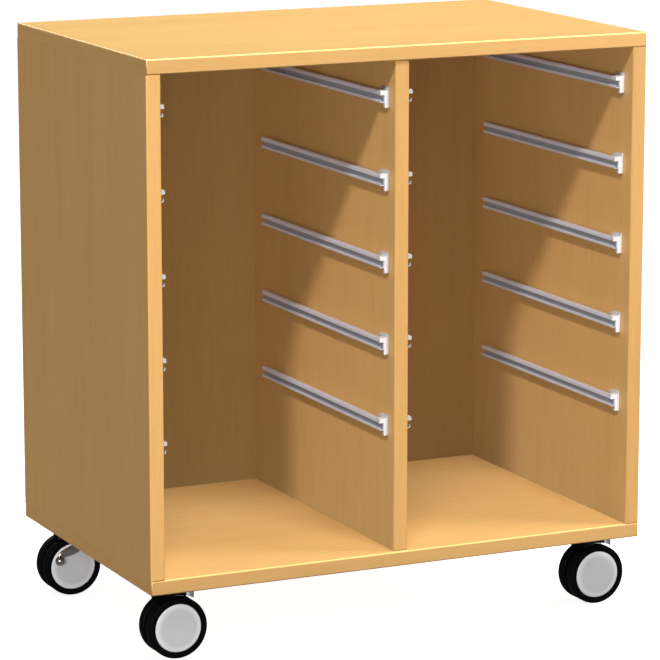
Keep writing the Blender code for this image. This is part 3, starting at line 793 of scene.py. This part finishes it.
def add_runners():
    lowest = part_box("left_bay_left_runner_1")
    length = lowest[1].y - lowest[0].y
    meshes = {}
    for facing in (-1, 1):
        runner = mesh_of("tray_runner", runner_shape(facing, length), ALUMINIUM, GROOVE_SHADE_ALUMINIUM)
        stop = mesh_of("runner_stop", stop_shape(facing), WHITE_PLASTIC)
        meshes[facing] = (runner, stop)
    for wall, facing in WALL_FACING.items():
        runner, stop = meshes[facing]
        for level in range(1, RUNNER_LEVELS + 1):
            node = f"{wall}_runner_{level}"
            low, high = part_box(node)
            wall_x = low.x - SEAT if facing > 0 else high.x + SEAT
            at = (wall_x, low.y, low.z + STOP_FALL + RUNNER_HEIGHT / 2)
            piece(f"{node}_rail", runner, CARCASS, [node], at)
            piece(f"{node}_stop", stop, CARCASS, (), at)


# Casters


def wheel_shape():
    """One wheel about Y, on the +Y side: a tyre round a seat for the cap."""
    radius = WHEEL_DIAMETER / 2
    inner = WHEEL_GAP / 2
    bore = AXLE_DIAMETER / 2 + SEAT
    seat = CAP_RADIUS + SEAT
    floor = CAP_BACK - SEAT
    groove = seat + TYRE_GROOVE_INSET
    middle = inner + WHEEL_WIDTH / 2
    outline = [
        (bore, inner), (bore, floor), (seat, floor), (seat, WHEEL_FACE, CAP_SEAT_EASE),
        (groove, WHEEL_FACE), (groove + TYRE_GROOVE / 2, WHEEL_FACE - TYRE_GROOVE),
        (groove + TYRE_GROOVE, WHEEL_FACE), (radius, WHEEL_FACE, TREAD_SHOULDER),
        (radius, middle + 2 * PARTING_LINE), (radius - PARTING_LINE, middle),
        (radius, middle - 2 * PARTING_LINE), (radius, inner, TREAD_SHOULDER),
    ]
    return turned(rounded(outline, TYRE_FINE_EASE), WHEEL_SIDES)


def cap_shape():
    """The cap: a shell, flat in the middle and turning down to its rim."""
    edge = WHEEL_FACE - CAP_EDGE_DROP
    rise = CAP_CROWN + CAP_EDGE_DROP
    hollow = CAP_RADIUS - CAP_SKIN
    dome = []
    for step in range(CAP_DOME_STEPS + 1):
        across = math.sin(math.pi / 2 * step / CAP_DOME_STEPS)
        up = (1 - across**CAP_FLATNESS) ** (1 / CAP_FLATNESS)
        dome.append((CAP_RADIUS * across, edge + rise * up))
    inside = [(hollow, CAP_BACK), (hollow, edge - CAP_SKIN / 2), (0, edge + rise - CAP_SKIN)]
    return turned([*dome, (CAP_RADIUS, CAP_BACK), *inside], WHEEL_SIDES)


def slot_outline(start, end, width):
    """A round-ended slot along X."""
    radius = width / 2
    return arc((end - radius, 0), radius, -90, 90) + arc((start + radius, 0), radius, 90, 270)


def hood_shape(reach, metal_end):
    """The hollow hood with a rounded upper edge, open underneath and cut away round the wheels.

    Its tail reaches past the axle, and the round end there may have the second finish.
    """
    tail = TRAIL + reach
    skirt = HOOD_BOTTOM - HOOD_SKIRT

    def loop(inset, height):
        outline = slot_outline(inset - HOOD_LEAD, tail - inset, HOOD_WIDTH - 2 * inset)
        return [(x, y, height) for x, y in outline]

    loops = [loop(HOOD_SKIN, HOOD_ROOF), loop(HOOD_SKIN, skirt), loop(0, skirt)]
    for across, up in arc((0, 0), 1, 0, 90, HOOD_FILLET_STEPS):
        loops.append(loop(HOOD_FILLET * (1 - across), HOOD_TOP - HOOD_FILLET * (1 - up)))
    wheel_room = bar(HOOD_BOTTOM - AXLE_HEIGHT, -HOOD_WIDTH, HOOD_WIDTH, WHEEL_SIDES)
    kingpin_room = upright_bar(KINGPIN_DIAMETER / 2 + SEAT, HOOD_ROOF - HOOD_SKIN, HOOD_TOP + HOOD_SKIN)
    hood = joined([lofted(loops)], [shifted(wheel_room, TRAIL, 0, AXLE_HEIGHT), kingpin_room])
    for face in hood.faces:
        if metal_end and face.calc_center_median().x > tail - HOOD_WIDTH / 2:
            face.material_index = 1
    return hood


def fork_shape():
    """The blade between the wheels, from the hood's roof down round the axle, notched for the kingpin."""
    half = WHEEL_GAP / 2 - FORK_SIDE_PLAY
    lead = HOOD_WIDTH / 2 - HOOD_LEAD - HOOD_SKIN
    tail = TRAIL + HOOD_TAIL - HOOD_WIDTH / 2 + HOOD_SKIN
    boss = arc((TRAIL, AXLE_HEIGHT), FORK_BOSS_DIAMETER / 2, 180, 360)
    blade = prism(boss + [(tail, HOOD_ROOF), (lead, HOOD_ROOF)], "y", -half, half)
    blade = eased(blade, sharp_edges(blade, FORK_SHARP_ABOVE), FORK_EASE, EASE_STEPS)
    notch_foot = HOOD_ROOF - SEAT - KINGPIN_HEAD_HEIGHT - FORK_SIDE_PLAY
    notch = upright_bar(KINGPIN_HEAD_DIAMETER / 2 + FORK_SIDE_PLAY, notch_foot, HOOD_TOP)
    axle_hole = bar(AXLE_DIAMETER / 2 + SEAT, -WHEEL_GAP, WHEEL_GAP)
    return joined([blade], [notch, shifted(axle_hole, TRAIL, 0, AXLE_HEIGHT)])


def brake_pin_shape():
    """The lever's pin with its domed head, in the hood's place."""
    radius = LEVER_PIN_DIAMETER / 2
    root = HOOD_WIDTH / 2 - HOOD_SKIN
    seat = LEVER_FRONT + SEAT
    head = domed(radius + LEVER_PIN_LEDGE, seat, LEVER_PIN_HEAD_HEIGHT, PIN_DOME_STEPS)
    pin = turned([(0, root), (radius, root), (radius, seat), *head], SMALL_SIDES)
    return shifted(pin, LEVER_PIVOT[0], 0, LEVER_PIVOT[1])


def lever_shape():
    """The brake lever about its pivot: a bent, tapering blade of oval section with an eye at its root."""
    root = Vector((0, 0))
    tip = Vector((LEVER_REACH, -LEVER_DROP))
    root_pull = root + Vector(LEVER_ROOT_BEND)
    tip_pull = tip + Vector(LEVER_TIP_BEND)
    middle = (LEVER_BACK + LEVER_FRONT) / 2
    loops = []
    for step in range(LEVER_STEPS + 1):
        t = step / LEVER_STEPS
        s = 1 - t
        at = root * s**3 + root_pull * 3 * s * s * t + tip_pull * 3 * s * t * t + tip * t**3
        ahead = (root_pull - root) * s * s + (tip_pull - root_pull) * 2 * s * t + (tip - tip_pull) * t * t
        across = Vector((-ahead.y, ahead.x)).normalized()
        width = LEVER_ROOT * s * s + LEVER_BELLY * 2 * s * t + LEVER_TIP * t * t
        loop = []
        for turn in range(LEVER_SECTION_STEPS):
            angle = 2 * math.pi * turn / LEVER_SECTION_STEPS
            point = at + across * math.cos(angle) * width / 2
            bulge = math.copysign(abs(math.sin(angle)) ** LEVER_FULLNESS, math.sin(angle))
            loop.append((point.x, middle + bulge * LEVER_THICKNESS / 2, point.y))
        loops.append(loop)
    hole = LEVER_PIN_DIAMETER / 2 + SEAT
    wall = hole + LEVER_EYE_WALL
    ring = [(hole, LEVER_BACK), (hole, LEVER_FRONT), (wall, LEVER_FRONT), (wall, LEVER_BACK)]
    eye = turned(rounded(ring, LEVER_EYE_EASE), SMALL_SIDES)
    return joined([lofted(loops), eye], [bar(hole, 0, 2 * LEVER_FRONT)])


def knob_shape():
    """The ball that is pressed, on the lever's tip."""
    radius = KNOB_DIAMETER / 2
    foot = KNOB_FOOT_DIAMETER / 2
    swell = []
    for step in range(KNOB_FOOT_STEPS):
        share = step / KNOB_FOOT_STEPS
        out = foot + (radius - foot) * math.sin(math.pi / 2 * share)
        swell.append((out, LEVER_BACK + KNOB_WAIST * share))
    dome = domed(radius, LEVER_BACK + KNOB_WAIST, KNOB_DOME, KNOB_DOME_STEPS)
    return turned([(0, LEVER_BACK), *swell, *dome], SMALL_SIDES)


def plate_shape(low, high):
    """The mounting plate about the swivel axis: a square with round corners and eased edges."""
    half = (high.x - low.x) / 2
    bottom = low.z + RACE_HEIGHT

    def loop(inset, height):
        size = half - inset
        square = rectangle((-size, -size), (size, size))
        return [(x, y, height) for x, y in rounded(square, PLATE_CORNER - inset, PLATE_CORNER_STEPS)]

    return lofted([loop(PLATE_EASE, bottom), loop(0, bottom + PLATE_EASE), loop(0, high.z)])


def race_shape(low):
    """The swivel race under the plate."""
    radius = RACE_DIAMETER / 2
    corner = (radius - RACE_FILLET, RACE_HEIGHT - RACE_FILLET)
    fillet = arc(corner, RACE_FILLET, 0, 90, RACE_FILLET_STEPS)
    race = turned([(0, 0), (radius, 0), *fillet, (0, RACE_HEIGHT)], WHEEL_SIDES)
    return shifted(tipped(race, -90), 0, 0, low.z + RACE_HEIGHT)


def screw_shape():
    """A pan-head screw seen from below, with a cross recess; its seat is at z = 0."""
    dome = domed(SCREW_HEAD_DIAMETER / 2, 0, SCREW_HEAD_HEIGHT, SCREW_DOME_STEPS)
    head = tipped(turned([(0, 0), *dome], SMALL_SIDES), -90)
    long = SCREW_SLOT_LENGTH / 2
    wide = SCREW_SLOT_WIDTH / 2
    below = -2 * SCREW_HEAD_HEIGHT
    floor = SCREW_SLOT_DEPTH - SCREW_HEAD_HEIGHT
    slots = [block((-a, -b, below), (a, b, floor)) for a, b in ((long, wide), (wide, long))]
    return joined([head], slots)


def add_casters():
    wheel = mesh_of("caster_wheel", wheel_shape(), BLACK_RUBBER)
    cap = mesh_of("caster_cap", cap_shape(), GREY_PLASTIC)
    # The hoods take the black finish: a black hood, and also painted shade under the carcass where they
    # sit; a plain hood's round end shows zinc.
    plain_hood = mesh_of("caster_hood", hood_shape(HOOD_TAIL, metal_end=True), BLACK_RUBBER, ZINC)
    brake_hood = mesh_of("caster_brake_hood", hood_shape(BRAKE_HOOD_TAIL, metal_end=False), BLACK_RUBBER)
    fork = mesh_of("caster_fork", fork_shape(), ZINC)
    pin = mesh_of("brake_pin", brake_pin_shape(), ZINC)
    lever = mesh_of("brake_lever", lever_shape(), REFLECTION_TINTED_CHROME)
    knob = mesh_of("brake_knob", knob_shape(), REFLECTION_TINTED_CHROME)
    plate_low, plate_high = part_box("front_left_caster_plate")
    plate = mesh_of("caster_plate", plate_shape(plate_low, plate_high), ZINC)
    race = mesh_of("caster_race", race_shape(plate_low), ZINC)
    screw = mesh_of("plate_screw", screw_shape(), ZINC)
    screw_reach = (plate_high.x - plate_low.x) / 2 - SCREW_INSET
    for corner in CORNERS:
        stem = f"{corner}_caster"
        braked = corner.startswith("rear")
        low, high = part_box(f"{stem}_plate")
        foot = Vector(((low.x + high.x) / 2, (low.y + high.y) / 2, 0))
        heading = math.pi if braked else 0.0
        ahead = Vector((math.cos(heading), 0, 0))
        piece(f"{stem}_mounting_plate", plate, CARCASS, [f"{stem}_plate"], foot)
        piece(f"{stem}_swivel_race", race, CARCASS, (), foot)
        for count, (a, b) in enumerate(((-1, -1), (1, -1), (1, 1), (-1, 1)), start=1):
            at = foot + Vector((a * screw_reach, b * screw_reach, low.z + RACE_HEIGHT))
            piece(f"{stem}_screw_{count}", screw, CARCASS, (), at)
        fork_body = f"{corner}_fork"
        hood = brake_hood if braked else plain_hood
        piece(f"{stem}_hood", hood, fork_body, [f"{stem}_housing"], foot, heading)
        piece(f"{stem}_fork_blade", fork, fork_body, (), foot, heading)
        centre = foot + ahead * TRAIL + Vector((0, 0, AXLE_HEIGHT))
        for end, facing in (("front", math.pi), ("rear", 0.0)):
            body = f"{corner}_{end}_wheel"
            near = f"{stem}_{end}"
            piece(f"{near}_tyre", wheel, body, [f"{near}_wheel"], centre, facing)
            piece(f"{near}_hub_cap", cap, body, [f"{near}_cap"], centre, facing)
        if braked:
            piece(f"{stem}_brake_pin", pin, fork_body, (), foot, heading)
            body = f"{corner}_brake"
            pivot = foot + ahead * LEVER_PIVOT[0] + Vector((0, 0, LEVER_PIVOT[1]))
            piece(f"{stem}_lever", lever, body, [f"{stem}_brake_lever"], pivot, heading)
            tip = pivot + ahead * LEVER_REACH - Vector((0, 0, LEVER_DROP))
            piece(f"{stem}_lever_knob", knob, body, (), tip, heading)
        for node in (f"{stem}_kingpin", f"{stem}_axle"):
            frame["nodes"][node].data.materials.clear()
            frame["nodes"][node].data.materials.append(ZINC)


# Studio


def add_backdrop():
    """A pale floor that turns up into a round wall."""
    finish, tree, shader = new_material("studio_paper")
    cloud = noise(tree, coordinates(tree), scale=0.8, detail=2)
    tree.links.new(mixed(tree, cloud, PAPER_PALE, PAPER_DARK), shader.inputs["Base Color"])
    shader.inputs["Roughness"].default_value = PAPER_ROUGHNESS
    shader.inputs["Emission Color"].default_value = (*WHITE, 1.0)
    shader.inputs["Emission Strength"].default_value = PAPER_GLOW
    bend = arc((BACKDROP_REACH - BACKDROP_BEND, BACKDROP_BEND), BACKDROP_BEND, -90, 0)
    profile = [(0.0, 0.0), *bend, (BACKDROP_REACH, BACKDROP_HEIGHT)]
    bm = bmesh.new()
    verts = [bm.verts.new((x, 0, z)) for x, z in profile]
    edges = [bm.edges.new(pair) for pair in zip(verts, verts[1:])]
    spin_round(bm, verts + edges, (0, 0, 1), BACKDROP_SIDES)
    bmesh.ops.remove_doubles(bm, verts=bm.verts, dist=MM)
    for face in bm.faces:
        face.normal_update()
        if face.normal.z < 0:
            face.normal_flip()
    backdrop = bpy.data.objects.new("studio_backdrop", mesh_of("studio_backdrop", bm, finish))
    bpy.context.scene.collection.objects.link(backdrop)
    backdrop.visible_diffuse = False
    backdrop.visible_glossy = False
    backdrop.visible_shadow = False


def add_light(name, kind, direction, power, location=(0, 0, 0)):
    """A light that shines in a direction."""
    light = bpy.data.lights.new(name, kind)
    light.energy = power
    made = bpy.data.objects.new(name, light)
    made.location = location
    made.rotation_euler = direction.to_track_quat("-Z", "Y").to_euler()
    bpy.context.scene.collection.objects.link(made)
    return made


def add_soft_light(name, location, target, size, power, colour=WHITE):
    made = add_light(name, "AREA", Vector(target) - Vector(location), power, location)
    made.data.shape = "RECTANGLE"
    made.data.size, made.data.size_y = size
    made.data.color = colour
    return made


def lit_by(light, pieces):
    """Keeps a light to the pieces of one group."""
    group = bpy.data.collections.new(f"{light.name}_group")
    for one in pieces:
        group.objects.link(one)
    light.light_linking.receiver_collection = group


def ending(pieces, *ends):
    """The pieces whose names end so."""
    return [one for one in pieces if one.name.endswith(ends)]


def without(pieces, *groups):
    return [one for one in pieces if not any(one in group for group in groups)]


def add_lights(pieces):
    """A hard key from the left, and soft lights that mostly have their own group of pieces."""
    top = ending(pieces, "top_board_panel")
    bay_floors = ending(pieces, "bottom_board_panel")
    bay_walls = ending(pieces, "partition_panel", "right_side_panel")
    front_trim = ending(pieces, "_front_edging")
    board_trim = ending(front_trim, "_board_front_edging")
    stops = ending(pieces, "_stop")
    facing_left = [one for one in stops if "_bay_right_" in one.name]
    casters = [one for one in pieces if "_caster_" in one.name]
    wheels = ending(casters, "_tyre", "_hub_cap", "_lever", "_lever_knob")
    key = add_light("key", "SUN", KEY_DIRECTION, KEY_POWER)
    key.data.angle = KEY_SPREAD
    lit_by(key, without(pieces, bay_floors, casters))
    groups = {
        "bay_fill": bay_walls + without(stops, facing_left),
        "back_wall_fill": ending(pieces, "back_board_panel"),
        "floor_fill": bay_floors,
        "runner_fill": ending(pieces, "_rail"),
        "stop_fill": facing_left,
        "front_fill": without(front_trim, board_trim),
        "edge_gleam": board_trim,
        "wheel_fill": wheels,
        "caster_mount_fill": without(casters, wheels),
        "back_fill": without(pieces, top),
    }
    for name, settings in SOFT_LIGHTS.items():
        light = add_soft_light(name, **settings)
        if name in groups:
            lit_by(light, groups[name])
    for one in bay_floors:
        one.visible_diffuse = False
    world = bpy.data.worlds.new("studio")
    world.use_nodes = True
    world.node_tree.nodes["Background"].inputs["Color"].default_value = (*WHITE, 1.0)
    world.node_tree.nodes["Background"].inputs["Strength"].default_value = AMBIENT
    bpy.context.scene.world = world


def add_camera():
    lens = bpy.data.cameras.new("camera")
    lens.lens = CAMERA_LENS
    lens.sensor_width = SENSOR_WIDTH
    camera = bpy.data.objects.new("camera", lens)
    camera.location = CAMERA_PLACE
    camera.rotation_euler = (math.pi / 2 - CAMERA_PITCH, 0, CAMERA_YAW)
    bpy.context.scene.collection.objects.link(camera)
    bpy.context.scene.camera = camera


packed = set(bpy.data.objects)
add_boards()
add_runners()
add_casters()
add_lights([one for one in bpy.data.objects if one.type == "MESH" and one not in packed])
add_backdrop()
add_camera()
bpy.context.scene.view_settings.view_transform = "Standard"
